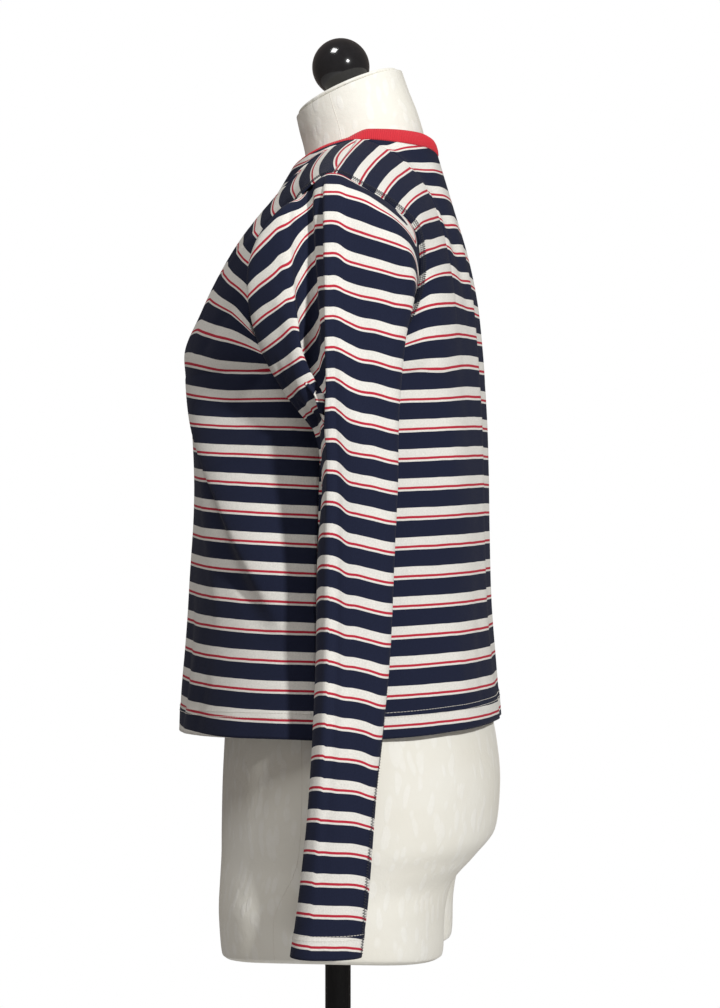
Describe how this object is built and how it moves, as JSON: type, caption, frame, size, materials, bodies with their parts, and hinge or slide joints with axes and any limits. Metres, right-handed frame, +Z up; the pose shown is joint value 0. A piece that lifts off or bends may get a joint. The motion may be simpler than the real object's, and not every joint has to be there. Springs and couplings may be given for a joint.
{
  "type": "long-sleeve t-shirt on a dress form",
  "caption": "Striped crew-neck t-shirt with long empty sleeves, worn by a limbless dress form on a pole with a round base.",
  "frame": {"origin": "middle of the stand's underside, on the floor under the pole", "axes": "+Z up, -Y towards the garment's front, +X towards the wearer's left"},
  "size_m": [0.43, 0.34, 1.4912],
  "materials": {
    "striped_jersey": "cotton jersey with broad navy and cream stripes and a fine red line",
    "red_rib": "red rib knit",
    "form_cover": "smooth cream cloth with a woven tone-on-tone figure",
    "black_gloss": "polished black",
    "black_metal": "black satin paint"
  },
  "bodies": {
    "root": {"shirt_front": "striped_jersey", "shirt_back": "striped_jersey", "sleeve_left": "striped_jersey", "sleeve_right": "striped_jersey", "neckband": "red_rib", "form_torso": "form_cover", "neck_cap": "form_cover", "finial_ball": "black_gloss", "stand_pole": "black_metal", "stand_base": "black_metal"}
  },
  "joints": []
}
